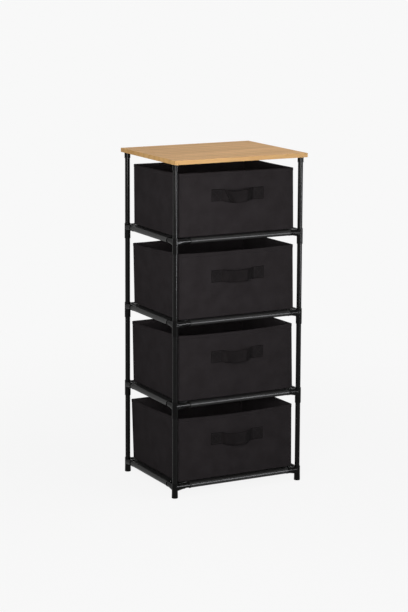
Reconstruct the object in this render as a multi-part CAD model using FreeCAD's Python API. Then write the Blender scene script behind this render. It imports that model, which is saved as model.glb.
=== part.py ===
import FreeCAD, Part
import os
from math import atan, cos, radians, sin

# Free-standing unit of four cloth drawers on a frame of round steel tube under a wood-effect board.
# The floor is z = 0, the origin is under the middle of the unit, and the drawers pull out towards -Y.

# Driving dimensions, in millimetres
unit_height = 1000.0
board_width = 440.0
board_depth = 360.0
tier_count = 4
tube_diameter = 15.0
tube_wall = 1.0
lowest_rail_height = 32.8

# Laminated board with its glued edge strips, which overhangs the middle lines of the legs
board_thickness = 12.5
board_overhang_x = 12.0
board_overhang_y = 21.0
edge_band_thickness = 0.6
board_edge_round = 0.5

# Moulded corner joints and the sockets under the board
socket_wall = 1.4
socket_clearance = 0.1
socket_end_gap = 0.2
joint_rise = 11.0
joint_drop = 35.0
joint_web = 2.0
arm_reach = 31.0
arm_bore_start = 11.0
arm_web_drop = 5.0
arm_web_reach = 25.0
foot_flare = 0.4
foot_flare_height = 20.0
foot_floor = 3.5
foot_round = 1.2
top_socket_height = 16.5
top_socket_roof = 2.5

# Countersunk wood screws, one up through each top socket
screw_length = 12.0
screw_shank_diameter = 3.2
screw_head_diameter = 6.6
screw_head_height = 1.9
screw_drive_diameter = 2.6
screw_drive_depth = 1.1
screw_clearance = 0.05

# Shelf cloths, sewn into sleeves round the rails, with bare rail between each sleeve and the joint's arm
cloth_thickness = 0.7
cloth_clearance = 0.1
bare_rail_left = 16.0
bare_rail_right = 4.0
bare_rail_side = 10.0

# Cloth drawers with card in their walls, set in from the middle lines of the legs
drawer_lift = 0.5
drawer_headroom = 41.2
top_drawer_headroom = 23.9
drawer_side_inset = 16.0
drawer_front_inset = 11.0
drawer_back_inset = 8.0
drawer_back_lean = 9.0
drawer_corner_radius = 6.0
belly_rise = 1.9
belly_arm_gap = 7.0
belly_inset_y = 9.0
drawer_wall = 2.6
drawer_floor = 2.8
hem_height = 11.0
hem_stand_out = 0.5
card_cover = 0.6
card_clearance = 0.1
card_foot_gap = 4.0
card_top_gap = 14.0
card_corner_gap = 9.0
base_board_thickness = 3.0
base_board_clearance = 0.8

# Webbing handle, sewn down at both ends with a loop between
strap_width = 38.0
strap_thickness = 1.6
strap_patch_length = 42.0
loop_half_width = 48.0
loop_depth = 20.0
loop_root_radius = 10.0
strap_drop_from_rim = 70.3

# Extra length of a cutting tool past the face that it cuts
overrun = 1.0

tube_radius = tube_diameter / 2
joint_bore_radius = tube_radius + socket_clearance
joint_radius = joint_bore_radius + socket_wall
cloth_inner_radius = tube_radius + cloth_clearance
cloth_outer_radius = cloth_inner_radius + cloth_thickness
leg_spacing_x = board_width - 2 * board_overhang_x
leg_spacing_y = board_depth - 2 * board_overhang_y

# The rails share out the height so that every drawer is alike, with its own headroom under the board
board_underside = unit_height - board_thickness
tier_pitch = (board_underside - lowest_rail_height + drawer_headroom - top_drawer_headroom) / tier_count
rail_heights = [lowest_rail_height + tier * tier_pitch for tier in range(tier_count)]
drawer_stand = cloth_outer_radius + drawer_lift
drawer_height = tier_pitch - drawer_stand - drawer_headroom
drawer_half_width = leg_spacing_x / 2 - drawer_side_inset
drawer_front_y = drawer_front_inset - leg_spacing_y / 2
drawer_back_y = leg_spacing_y / 2 - drawer_back_inset

up = FreeCAD.Vector(0, 0, 1)
corners = {
    "front_left": (-1, -1),
    "front_right": (1, -1),
    "back_left": (-1, 1),
    "back_right": (1, 1),
}


def point(x, y, z):
    return FreeCAD.Vector(x, y, z)


def rod(radius, start, end):
    along = end - start
    return Part.makeCylinder(radius, along.Length, start, along)


def tube(start, end):
    bore = rod(tube_radius - tube_wall, start, end)
    return rod(tube_radius, start, end).cut(bore)


def block(x_range, y_range, z_range):
    size = [high - low for low, high in (x_range, y_range, z_range)]
    return Part.makeBox(*size, point(x_range[0], y_range[0], z_range[0]))


def save(name, solids):
    shape = solids[0] if len(solids) == 1 else Part.makeCompound(solids)
    shape.exportStep("parts/" + name + ".step")


def at_corner(shape, sign_x, sign_y, z):
    """Turn a piece whose arms point to +X and +Y so that they point inwards from a leg."""
    origin = point(0, 0, 0)
    if sign_x > 0:
        shape = shape.mirror(origin, point(1, 0, 0))
    if sign_y > 0:
        shape = shape.mirror(origin, point(0, 1, 0))
    shape.translate(point(sign_x * leg_spacing_x / 2, sign_y * leg_spacing_y / 2, z))
    return shape


# Top board: particle board core with a strip of edging glued on each side
def make_board():
    half_width = board_width / 2 - edge_band_thickness
    half_depth = board_depth / 2 - edge_band_thickness
    core = block((-half_width, half_width), (-half_depth, half_depth), (board_underside, unit_height))
    pilot_depth = screw_length - top_socket_roof + screw_clearance
    for sign_x, sign_y in corners.values():
        foot = point(sign_x * leg_spacing_x / 2, sign_y * leg_spacing_y / 2, board_underside - overrun)
        pilot = rod(screw_shank_diameter / 2 + screw_clearance, foot, foot + up * (pilot_depth + overrun))
        core = core.cut(pilot)
    return core


def make_edge_bands():
    half_width = board_width / 2
    half_depth = board_depth / 2
    inner_width = half_width - edge_band_thickness
    inner_depth = half_depth - edge_band_thickness
    height = (board_underside, unit_height)
    bands = []
    for sign in (-1, 1):
        long_y = sorted((sign * inner_depth, sign * half_depth))
        long_band = block((-half_width, half_width), long_y, height)
        outer_edges = [edge for edge in long_band.Edges if edge_is_outer(edge, 1, sign * half_depth)]
        bands.append(long_band.makeFillet(board_edge_round, outer_edges))
        short_x = sorted((sign * inner_width, sign * half_width))
        short_band = block(short_x, (-inner_depth, inner_depth), height)
        outer_edges = [edge for edge in short_band.Edges if edge_is_outer(edge, 0, sign * half_width)]
        bands.append(short_band.makeFillet(board_edge_round, outer_edges))
    return bands


def edge_is_outer(edge, axis, place):
    """True for a strip's two long edges on the face that shows."""
    ends = [vertex.Point for vertex in edge.Vertexes]
    on_face = all(abs(end[axis] - place) < edge_band_thickness / 2 for end in ends)
    level = abs(ends[0].z - ends[1].z) < board_thickness / 2
    return on_face and level


# Sockets screwed up under the board, each a cup over the end of a leg
def make_top_socket():
    low = board_underside - top_socket_height
    roof = board_underside - top_socket_roof
    cup = rod(joint_radius, point(0, 0, low), point(0, 0, board_underside))
    bore = rod(joint_bore_radius, point(0, 0, low - overrun), point(0, 0, roof))
    hole = rod(screw_shank_diameter / 2 + screw_clearance, point(0, 0, roof - overrun),
               point(0, 0, board_underside + overrun))
    head_radius = screw_head_diameter / 2 + screw_clearance
    countersink = Part.makeCone(head_radius, screw_shank_diameter / 2 + screw_clearance,
                                screw_head_height, point(0, 0, roof))
    return cup.cut(bore).cut(hole).cut(countersink)


def make_screw():
    roof = board_underside - top_socket_roof
    head = Part.makeCone(screw_head_diameter / 2, screw_shank_diameter / 2, screw_head_height,
                         point(0, 0, roof))
    shank = rod(screw_shank_diameter / 2, point(0, 0, roof), point(0, 0, roof + screw_length - screw_clearance))
    drive = rod(screw_drive_diameter / 2, point(0, 0, roof - overrun), point(0, 0, roof + screw_drive_depth))
    return head.fuse(shank).cut(drive)


# Corner joints: an upright sleeve round the leg with two arms that take the rails
def make_arm(direction):
    """A level socket with a sloping round web that thickens its underside towards the leg."""
    arm = rod(joint_radius, point(0, 0, 0), direction * arm_reach)
    web = rod(joint_radius, up * -arm_web_drop, direction * arm_web_reach)
    return arm.fuse(web)


def make_joint(is_foot):
    drop = lowest_rail_height if is_foot else joint_drop
    body = rod(joint_radius, point(0, 0, -drop), point(0, 0, joint_rise))
    if is_foot:
        flare = Part.makeCone(joint_radius + foot_flare, joint_radius, foot_flare_height, point(0, 0, -drop))
        sole = [edge for edge in flare.Edges if abs(edge.BoundBox.ZMax + drop) < foot_flare]
        body = rod(joint_radius, point(0, 0, foot_flare_height - drop), point(0, 0, joint_rise))
        body = body.fuse(flare.makeFillet(foot_round, sole))
    arm_directions = (point(1, 0, 0), point(0, 1, 0))
    for direction in arm_directions:
        body = body.fuse(make_arm(direction))
    for direction in arm_directions:
        bore = rod(joint_bore_radius, direction * arm_bore_start, direction * (arm_reach + overrun))
        body = body.cut(bore)
    upper_floor = foot_floor - drop if is_foot else joint_web / 2
    body = body.cut(rod(joint_bore_radius, point(0, 0, upper_floor), point(0, 0, joint_rise + overrun)))
    if not is_foot:
        lower_bore = rod(joint_bore_radius, point(0, 0, -drop - overrun), point(0, 0, -joint_web / 2))
        body = body.cut(lower_bore)
    return body.removeSplitter()


# Legs: one length of tube per tier, each standing in the joint below it
def make_leg_tubes(sign_x, sign_y):
    x = sign_x * leg_spacing_x / 2
    y = sign_y * leg_spacing_y / 2
    lengths = []
    for tier in range(tier_count):
        low = rail_heights[tier] + joint_web / 2 + socket_end_gap
        if tier == 0:
            low = foot_floor + socket_end_gap
        if tier + 1 < tier_count:
            high = rail_heights[tier + 1] - joint_web / 2 - socket_end_gap
        else:
            high = board_underside - top_socket_roof - socket_end_gap
        lengths.append(tube(point(x, y, low), point(x, y, high)))
    return lengths


# Rails: four tubes round each tier, plugged into the joints' arms
def make_long_rail(sign_y, height):
    half = leg_spacing_x / 2 - arm_bore_start - socket_end_gap
    y = sign_y * leg_spacing_y / 2
    return tube(point(-half, y, height), point(half, y, height))


def make_side_rail(sign_x, height):
    half = leg_spacing_y / 2 - arm_bore_start - socket_end_gap
    x = sign_x * leg_spacing_x / 2
    return tube(point(x, -half, height), point(x, half, height))


# Shelf cloths: a taut sheet level with the top of the rails, its edges sewn round them
def sleeve_profile(half_span, place):
    """The cloth cut across a pair of rails: a sheet with an eye at each end."""
    top = cloth_outer_radius
    underside = cloth_inner_radius
    tuck = (top ** 2 - underside ** 2) ** 0.5
    outline = []
    for sign in (-1, 1):
        crest = place(sign * half_span, top)
        outermost = place(sign * (half_span + top), 0)
        lowest = place(sign * half_span, -top)
        innermost = place(sign * (half_span - top), 0)
        seam = place(sign * (half_span - tuck), underside)
        quarter = top * sin(radians(45))
        outer_low = place(sign * (half_span + quarter), -quarter)
        outer_high = place(sign * (half_span + quarter), quarter)
        inner_low = place(sign * (half_span - quarter), -quarter)
        rising = (atan(underside / tuck)) / 2
        inner_high = place(sign * (half_span - top * cos(rising)), top * sin(rising))
        outline.append(Part.Arc(crest, outer_high, outermost).toShape())
        outline.append(Part.Arc(outermost, outer_low, lowest).toShape())
        outline.append(Part.Arc(lowest, inner_low, innermost).toShape())
        outline.append(Part.Arc(innermost, inner_high, seam).toShape())
    outline.append(Part.makeLine(place(-half_span, top), place(half_span, top)))
    outline.append(Part.makeLine(place(tuck - half_span, underside), place(half_span - tuck, underside)))
    return Part.Face(Part.Wire(Part.__sortEdges__(outline)))


def make_shelf_cloth(height):
    half_x = leg_spacing_x / 2
    half_y = leg_spacing_y / 2
    start_x = arm_reach + bare_rail_left - half_x
    end_x = half_x - arm_reach - bare_rail_right
    end_y = half_y - arm_reach - bare_rail_side
    front_to_back = sleeve_profile(half_y, lambda along, z: point(start_x, along, height + z))
    side_to_side = sleeve_profile(half_x, lambda along, z: point(along, -end_y, height + z))
    cloth = front_to_back.extrude(point(end_x - start_x, 0, 0))
    cloth = cloth.fuse(side_to_side.extrude(point(0, 2 * end_y, 0)))
    reach_x = half_x + cloth_outer_radius
    reach_y = half_y + cloth_outer_radius
    for sign in (-1, 1):
        cloth = cloth.cut(rod(cloth_inner_radius, point(-reach_x, sign * half_y, height),
                              point(reach_x, sign * half_y, height)))
        cloth = cloth.cut(rod(cloth_inner_radius, point(sign * half_x, -reach_y, height),
                              point(sign * half_x, reach_y, height)))
    return cloth.removeSplitter()


# Drawers: open-topped cloth boxes with card sewn into the walls and a loose base board
def outline_at(z, inset):
    """The drawer's outline at a height above its underside, set in by a distance."""
    lean = drawer_back_lean * (z - belly_rise) / (drawer_height - belly_rise)
    half_width = drawer_half_width - inset
    return (-half_width, half_width), (drawer_front_y + inset, drawer_back_y + lean - inset)


def rounded_outline(x_range, y_range, radius, z):
    low_x, high_x = x_range
    low_y, high_y = y_range
    box = Part.makeBox(high_x - low_x, high_y - low_y, radius, point(low_x, low_y, z))
    uprights = [edge for edge in box.Edges if edge.BoundBox.ZLength > radius / 2]
    box = box.makeFillet(radius, uprights)
    base = min(box.Faces, key=lambda face: face.CenterOfMass.z)
    return base.OuterWire


def drawer_prism(low, high, inset, stand):
    """A straight-sided solid between two heights of the drawer, with its walls set in."""
    radius = max(drawer_corner_radius - inset, card_cover)
    wires = []
    for z in (low, high):
        x_range, y_range = outline_at(z, inset)
        wires.append(rounded_outline(x_range, y_range, radius, stand + z))
    return Part.makeLoft(wires, True, True)


def make_cards(stand, grow):
    """The four wall cards, or their pockets when grown by the clearance."""
    low = belly_rise + card_foot_gap - grow
    high = drawer_height - card_top_gap + grow
    inset = card_cover + card_clearance
    thick = drawer_wall - 2 * inset
    ring = drawer_prism(low, high, inset - grow, stand)
    ring = ring.cut(drawer_prism(low - overrun, high + overrun, inset + thick + grow, stand))
    gap = card_corner_gap - grow
    base_x, base_y = outline_at(low, 0)
    deep = drawer_wall + card_corner_gap
    height = (stand + low - overrun, stand + high + overrun)
    long_x = (base_x[0] + gap, base_x[1] - gap)
    long_y = (base_y[0] + gap, base_y[1] - gap)
    front = ring.common(block(long_x, (base_y[0] - overrun, base_y[0] + gap), height))
    back = ring.common(block(long_x, (base_y[1] - gap, base_y[1] + deep), height))
    left = ring.common(block((base_x[0] - deep, base_x[0] + gap), long_y, height))
    right = ring.common(block((base_x[1] - gap, base_x[1] + deep), long_y, height))
    return [side.Solids[0] for side in (front, back, left, right)]


def make_drawer_shell(stand):
    """A shell whose underside is flat between the joints' arms and rises a little over them."""
    x_range, y_range = outline_at(belly_rise, 0)
    flat_x = leg_spacing_x / 2 - arm_reach - belly_arm_gap
    flat_y = (y_range[0] + belly_inset_y, y_range[1] - belly_inset_y)
    belly = Part.makeLoft([
        rounded_outline((-flat_x, flat_x), flat_y, drawer_corner_radius, stand),
        rounded_outline(x_range, y_range, drawer_corner_radius, stand + belly_rise),
    ], True, True)
    shell = belly.fuse(drawer_prism(belly_rise, drawer_height, 0, stand))
    shell = shell.fuse(drawer_prism(drawer_height - hem_height, drawer_height, -hem_stand_out, stand))
    shell = shell.cut(drawer_prism(drawer_floor, drawer_height + overrun, drawer_wall, stand))
    for pocket in make_cards(stand, card_clearance):
        shell = shell.cut(pocket)
    return shell


def make_base_board(stand):
    low = drawer_floor
    return drawer_prism(low, low + base_board_thickness, drawer_wall + base_board_clearance, stand)


# Handles: one length of webbing with its ends sewn flat to the drawer's front
def strap_line(offset):
    """One side of the strap seen from above, stood off the drawer by a distance."""
    turn = 2 * atan(loop_depth / loop_half_width)
    reach = loop_half_width / sin(turn)
    root = loop_root_radius - offset
    crown = reach - loop_root_radius + offset
    face = -offset
    crown_y = reach * cos(turn) - loop_root_radius
    edges = []
    for sign in (-1, 1):
        patch_end = point(sign * (loop_half_width + strap_patch_length), face, 0)
        start = point(sign * loop_half_width, face, 0)
        middle = point(sign * (loop_half_width - root * sin(turn / 2)),
                       root * cos(turn / 2) - loop_root_radius, 0)
        end = point(sign * (loop_half_width - root * sin(turn)), root * cos(turn) - loop_root_radius, 0)
        edges.append(Part.makeLine(patch_end, start))
        edges.append(Part.Arc(start, middle, end).toShape())
    crest = point(0, crown_y - crown, 0)
    edges.append(Part.Arc(end, crest, point(-end.x, end.y, 0)).toShape())
    return edges


def make_handle(stand):
    far = loop_half_width + strap_patch_length
    edges = strap_line(0) + strap_line(strap_thickness)
    for sign in (-1, 1):
        edges.append(Part.makeLine(point(sign * far, 0, 0), point(sign * far, -strap_thickness, 0)))
    strap = Part.Face(Part.Wire(Part.__sortEdges__(edges))).extrude(up * strap_width)
    strap.translate(point(0, drawer_front_y, stand + drawer_height - strap_drop_from_rim - strap_width / 2))
    return strap


os.makedirs("parts", exist_ok=True)

save("top_board", [make_board()])
save("board_edge_bands", make_edge_bands())
screws = []
for corner, (sign_x, sign_y) in corners.items():
    save("top_socket_" + corner, [at_corner(make_top_socket(), sign_x, sign_y, 0)])
    save("leg_tubes_" + corner, make_leg_tubes(sign_x, sign_y))
    screws.append(at_corner(make_screw(), sign_x, sign_y, 0))
save("board_screws", screws)

for tier, height in enumerate(rail_heights, start=1):
    kind = "foot_joint" if tier == 1 else "corner_joint_" + str(tier)
    for corner, (sign_x, sign_y) in corners.items():
        save(kind + "_" + corner, [at_corner(make_joint(tier == 1), sign_x, sign_y, height)])
    save("front_rail_" + str(tier), [make_long_rail(-1, height)])
    save("back_rail_" + str(tier), [make_long_rail(1, height)])
    save("side_rails_" + str(tier), [make_side_rail(-1, height), make_side_rail(1, height)])
    save("shelf_cloth_" + str(tier), [make_shelf_cloth(height)])

    stand = height + drawer_stand
    drawer = "drawer_" + str(tier)
    save(drawer + "_shell", [make_drawer_shell(stand)])
    save(drawer + "_wall_cards", make_cards(stand, 0))
    save(drawer + "_base_board", [make_base_board(stand)])
    save(drawer + "_handle", [make_handle(stand)])
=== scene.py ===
# A free-standing unit of four black cloth drawers on a frame of black steel tube, under an oak-effect board.
# The sections follow how it is put together: board, tubes, joints, shelf cloths, drawers and their handles.
# Lengths are in millimetres and become metres where a mesh or a node is made.
import bpy
from math import copysign, cos, exp, hypot, pi, sin
from mathutils import Matrix, Vector, noise


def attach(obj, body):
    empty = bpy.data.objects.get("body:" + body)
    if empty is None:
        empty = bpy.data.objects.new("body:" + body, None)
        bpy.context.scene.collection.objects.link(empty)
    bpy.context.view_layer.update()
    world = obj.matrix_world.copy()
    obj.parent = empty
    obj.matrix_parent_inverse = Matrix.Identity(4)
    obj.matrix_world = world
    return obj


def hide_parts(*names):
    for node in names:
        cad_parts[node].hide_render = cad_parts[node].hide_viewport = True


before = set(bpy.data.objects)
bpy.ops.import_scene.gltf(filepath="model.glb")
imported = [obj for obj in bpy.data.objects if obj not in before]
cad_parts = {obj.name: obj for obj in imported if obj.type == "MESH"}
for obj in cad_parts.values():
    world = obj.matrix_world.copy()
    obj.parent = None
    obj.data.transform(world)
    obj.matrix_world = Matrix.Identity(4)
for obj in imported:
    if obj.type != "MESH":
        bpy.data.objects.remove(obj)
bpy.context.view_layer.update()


# Top board: particle board with a melamine face printed as light oak, pressed on and cut square.
# The print's grain runs from side to side. The face is smooth to the hand, with the pores lightly embossed.
MM = 0.001

# A metre in millimetres: METRE / size is the scale of a pattern whose marks have that size.
METRE = 1000.0
OAK_BAND_LONG = 312.5
OAK_ARCH_LONG = 909.1
OAK_ARCH_WIDTH = 142.86
OAK_LINE_LONG = 71.43
OAK_PORE_LONG = 14.286
OAK_PORE_WIDTH = 1.111
OAK_PORE_DEEP = 0.05


def linear(colour):
    """An sRGB hex colour as linear red, green, blue and alpha."""
    channels = [int(colour[i:i + 2], 16) / 255 for i in (1, 3, 5)]
    return [c / 12.92 if c <= 0.04045 else ((c + 0.055) / 1.055) ** 2.4 for c in channels] + [1.0]


def add(tree, kind, inputs, **settings):
    """Adds a node with its settings. An input is a value, or another node's output to link."""
    node = tree.nodes.new(kind)
    for name, value in settings.items():
        setattr(node, name, value)
    for name, value in inputs.items():
        if isinstance(value, bpy.types.NodeSocket):
            tree.links.new(value, node.inputs[name])
        else:
            node.inputs[name].default_value = value
    return node


def new_finish(name, **sockets):
    """A material with its shader's own sockets set. Returns the material, its tree and the shader."""
    material = bpy.data.materials.new(name)
    material.use_nodes = True
    tree = material.node_tree
    shader = tree.nodes["Principled BSDF"]
    for socket, value in sockets.items():
        shader.inputs[socket.replace("_", " ")].default_value = value
    return material, tree, shader


def dress(node_name, material):
    """Gives a carried-over CAD node its finish."""
    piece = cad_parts[node_name]
    piece.data.materials.clear()
    piece.data.materials.append(material)


def oak_print(name, light, body, dark, band_width, line_width, roughness):
    """Melamine or edging printed as oak: broad bands, a few arches, fine lines and short pores along X."""
    material, tree, shader = new_finish(name, IOR=1.5, Specular_IOR_Level=0.12)
    place = add(tree, "ShaderNodeTexCoord", {}).outputs["Object"]
    band_place = add(tree, "ShaderNodeMapping", {
        "Vector": place, "Scale": (METRE / OAK_BAND_LONG, METRE / band_width, METRE / band_width)})
    bands = add(tree, "ShaderNodeTexNoise", {
        "Vector": band_place.outputs[0], "Scale": 1.0, "Detail": 4.0, "Roughness": 0.55, "Distortion": 0.6})
    arch_place = add(tree, "ShaderNodeMapping", {
        "Vector": place, "Scale": (METRE / OAK_ARCH_LONG, METRE / OAK_ARCH_WIDTH, METRE / OAK_ARCH_WIDTH),
        "Location": (0.3, 0.2, 0)})
    arches = add(tree, "ShaderNodeTexWave", {
        "Vector": arch_place.outputs[0], "Scale": 1.3, "Distortion": 5.5, "Detail": 2.0, "Detail Scale": 0.9,
    }, wave_type="BANDS", bands_direction="Y")
    line_place = add(tree, "ShaderNodeMapping", {
        "Vector": place, "Scale": (METRE / OAK_LINE_LONG, METRE / line_width, METRE / line_width)})
    lines = add(tree, "ShaderNodeTexNoise", {"Vector": line_place.outputs[0], "Scale": 1.0, "Detail": 3.0})
    pore_place = add(tree, "ShaderNodeMapping", {
        "Vector": place, "Scale": (METRE / OAK_PORE_LONG, METRE / OAK_PORE_WIDTH, METRE / OAK_PORE_WIDTH)})
    pores = add(tree, "ShaderNodeTexNoise", {"Vector": pore_place.outputs[0], "Scale": 1.0, "Detail": 1.0})

    # The print: light and body colour in bands, then each kind of mark laid over it in the dark colour.
    banding = add(tree, "ShaderNodeMapRange", {"Value": bands.outputs[0], "From Min": 0.36, "From Max": 0.66})
    tone = add(tree, "ShaderNodeMix", {
        0: banding.outputs[0], 6: linear(light), 7: linear(body)}, data_type="RGBA")
    marks = ((arches, 0.55, 1.0, 0.3), (lines, 0.5, 0.75, 0.45), (pores, 0.64, 0.72, 0.55))
    for mark, start, full, strength in marks:
        printed = add(tree, "ShaderNodeMapRange", {
            "Value": mark.outputs["Fac"], "From Min": start, "From Max": full, "To Max": strength})
        tone = add(tree, "ShaderNodeMix", {
            0: printed.outputs[0], 6: tone.outputs[2], 7: linear(dark)}, data_type="RGBA")
    emboss = add(tree, "ShaderNodeBump", {
        "Height": printed.outputs[0], "Strength": 0.35, "Distance": OAK_PORE_DEEP * MM}, invert=True)
    gloss = add(tree, "ShaderNodeMapRange", {
        "Value": lines.outputs[0], "To Min": roughness - 0.06, "To Max": roughness + 0.08})
    tree.links.new(tone.outputs[2], shader.inputs["Base Color"])
    tree.links.new(gloss.outputs[0], shader.inputs["Roughness"])
    tree.links.new(emboss.outputs[0], shader.inputs["Normal"])
    return material


# A melamine face: satin, warm and pale, its grain seen as soft lengthwise streaks.
melamine_oak = oak_print("melamine_oak", "#e0b076", "#cb9d64", "#96703f",
                         band_width=34, line_width=2.2, roughness=0.5)
dress("top_board", melamine_oak)

# Edging: ABS strip 0.6 mm thick with the same oak print, glued round the board and its corners eased.
# Being cut from another roll it is a little yellower and plainer than the face.
abs_edging = oak_print("abs_edging", "#cba268", "#bf945c", "#a27848",
                       band_width=60, line_width=1.4, roughness=0.5)
dress("board_edge_bands", abs_edging)

# Screws: countersunk, zinc plated and pale yellow-grey, up through each socket into the board.
# Plating gives them a dull metal shine with cloudy patches about a millimetre wide.
zinc_plate, tree, shader = new_finish("zinc_plate", Metallic=1.0, Roughness=0.34)
place = add(tree, "ShaderNodeTexCoord", {}).outputs["Object"]
cloud = add(tree, "ShaderNodeTexNoise", {"Vector": place, "Scale": METRE / 1.111, "Detail": 2.0})
plated = add(tree, "ShaderNodeMix", {
    0: cloud.outputs[0], 6: linear("#b9b8b0"), 7: linear("#8f8d84")}, data_type="RGBA")
tree.links.new(plated.outputs[2], shader.inputs["Base Color"])
dress("board_screws", zinc_plate)


# Legs and rails: round steel tube, 15 mm outside and 1 mm thick, cut to length and powder coated black.
# The coat is even and satin, with the faint orange peel, 1.6 mm wide, that powder leaves as it melts.
CORNERS = ("front_left", "front_right", "back_left", "back_right")
TIERS = (1, 2, 3, 4)

powder_coat, tree, shader = new_finish("powder_coat", IOR=1.5, Specular_IOR_Level=0.075)
place = add(tree, "ShaderNodeTexCoord", {}).outputs["Object"]
peel = add(tree, "ShaderNodeTexNoise", {"Vector": place, "Scale": METRE / 1.6, "Detail": 2.0})
dust = add(tree, "ShaderNodeTexNoise", {"Vector": place, "Scale": METRE / 22, "Detail": 4.0})
coat = add(tree, "ShaderNodeMix", {
    0: dust.outputs[0], 6: linear("#0b0b0b"), 7: linear("#121212")}, data_type="RGBA")
dimples = add(tree, "ShaderNodeBump", {"Height": peel.outputs[0], "Strength": 0.2, "Distance": 0.03 * MM})
satin = add(tree, "ShaderNodeMapRange", {"Value": dust.outputs[0], "To Min": 0.14, "To Max": 0.2})
tree.links.new(coat.outputs[2], shader.inputs["Base Color"])
tree.links.new(satin.outputs[0], shader.inputs["Roughness"])
tree.links.new(dimples.outputs[0], shader.inputs["Normal"])
for corner in CORNERS:
    dress("leg_tubes_" + corner, powder_coat)
for tier in TIERS:
    for rail in ("front_rail_", "back_rail_", "side_rails_"):
        dress(rail + str(tier), powder_coat)


# Joints and sockets: injection moulded polypropylene, black all through, pushed on to the tubes by hand.
# Out of a smooth mould the plastic is a shade blacker than the coated steel, with small clear highlights.
moulded_plastic, tree, shader = new_finish("moulded_plastic", IOR=1.49, Specular_IOR_Level=0.06)
place = add(tree, "ShaderNodeTexCoord", {}).outputs["Object"]
grit = add(tree, "ShaderNodeTexNoise", {"Vector": place, "Scale": METRE / 0.5, "Detail": 1.0})
flow = add(tree, "ShaderNodeTexNoise", {
    "Vector": place, "Scale": METRE / 30, "Detail": 2.0, "Distortion": 1.2})
resin = add(tree, "ShaderNodeMix", {
    0: flow.outputs[0], 6: linear("#080808"), 7: linear("#0e0e0e")}, data_type="RGBA")
mould_face = add(tree, "ShaderNodeBump", {"Height": grit.outputs[0], "Strength": 0.2, "Distance": 0.01 * MM})
smooth = add(tree, "ShaderNodeMapRange", {"Value": flow.outputs[0], "To Min": 0.11, "To Max": 0.19})
tree.links.new(resin.outputs[2], shader.inputs["Base Color"])
tree.links.new(smooth.outputs[0], shader.inputs["Roughness"])
tree.links.new(mould_face.outputs[0], shader.inputs["Normal"])
for corner in CORNERS:
    dress("top_socket_" + corner, moulded_plastic)
    dress("foot_joint_" + corner, moulded_plastic)
    for tier in TIERS[1:]:
        dress(f"corner_joint_{tier}_{corner}", moulded_plastic)


# Shelf cloths: one sheet of black polyester for each tier, its four edges turned over the rails and sewn
# back as sleeves, with the corners notched round the joints. Sleeve ends and notches have a narrow hem.

# LEG_X and LEG_Y are half the legs' spacing, and CLOTH_MIDDLE is how far the cloth lies from a rail's axis.
# SLEEVE_GAP and WRAP are angles round a rail, in radians: what the sleeve leaves open, and what it covers.
LEG_X = 208.0
LEG_Y = 159.0
LOWEST_RAIL = 32.8
TIER_PITCH = 243.0
CLOTH_THICK = 0.7
CLOTH_MIDDLE = 7.95
SLEEVE_X = (-161.0, 173.0)
SLEEVE_Y = (-118.0, 118.0)
SLEEVE_HEM = 4.0
SLEEVE_HEM_THICK = 0.9
SLEEVE_SLACK = 0.22
SLEEVE_GAP = 0.42
WRAP = 2 * pi - SLEEVE_GAP
FLAP = 9.0
FLAP_DROP = 0.75
SEAM_IN = 2.5
SEAM_SHORT = 3.0
CORNER_X = 197.4
CORNER_Y = 148.4
CORNER_HEM = 7.0
CORNER_DROOP = 1.8
HEM_TUCK = 1.6
HELD_X = 196.0
HELD_Y = 148.0
SHEET_RIPPLE = 0.9
STOP_STEP = 8
CORNER_STEP = 6


def make_piece(name, points, faces, maps, material, smooth=True):
    """A mesh piece from points in millimetres. maps holds each point's place on the flat cloth, too."""
    mesh = bpy.data.meshes.new(name)
    mesh.from_pydata([[c * MM for c in p] for p in points], [], faces)
    layer = mesh.uv_layers.new(name="cut")
    for loop in mesh.loops:
        layer.data[loop.index].uv = [c * MM for c in maps[loop.vertex_index]]
    mesh.polygons.foreach_set("use_smooth", [smooth] * len(mesh.polygons))
    mesh.materials.append(material)
    mesh.update()
    piece = bpy.data.objects.new(name, mesh)
    bpy.context.scene.collection.objects.link(piece)
    return piece


def bridge(rows, closed=False, flip=False):
    """The faces between neighbouring rows of point numbers. Closed rows run back to their start."""
    faces = []
    for a, b in zip(rows, rows[1:]):
        for j in range(len(a) if closed else len(a) - 1):
            k = (j + 1) % len(a)
            quad = (a[j], a[k], b[k], b[j])
            faces.append(quad[::-1] if flip else quad)
    return faces


def close_body(rings):
    """The faces of a closed body: those between its rings, and a cap at each end."""
    return bridge(rings, closed=True) + [tuple(reversed(rings[0])), tuple(rings[-1])]


# A close polyester weave with a dry, greyish shine along the crown of each sleeve. The real threads lie
# 0.4 mm apart and are drawn at 0.9 mm, so that they show. A wave's scale is WAVE_METRE / its spacing.
WAVE_METRE = 314.16
polyester_weave, tree, shader = new_finish("polyester_weave", Roughness=0.38, IOR=1.5,
                                           Specular_IOR_Level=0.17)
flat_place = add(tree, "ShaderNodeUVMap", {}, uv_map="cut").outputs[0]
threads = {"Vector": flat_place, "Scale": WAVE_METRE / 0.9, "Distortion": 0.6, "Detail Scale": 0.3}
weft = add(tree, "ShaderNodeTexWave", threads, bands_direction="X")
warp = add(tree, "ShaderNodeTexWave", threads, bands_direction="Y")
weave = add(tree, "ShaderNodeMath", {0: weft.outputs["Fac"], 1: warp.outputs["Fac"]}, operation="MULTIPLY")
slub = add(tree, "ShaderNodeTexNoise", {"Vector": flat_place, "Scale": METRE / 9, "Detail": 4.0})
shade = add(tree, "ShaderNodeTexNoise", {"Vector": flat_place, "Scale": METRE / 120, "Detail": 3.0})
uneven = add(tree, "ShaderNodeMath", {0: slub.outputs[0], 1: shade.outputs[0]}, operation="MULTIPLY")
mottled = add(tree, "ShaderNodeMapRange", {"Value": uneven.outputs[0], "From Min": 0.12, "From Max": 0.4})
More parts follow.
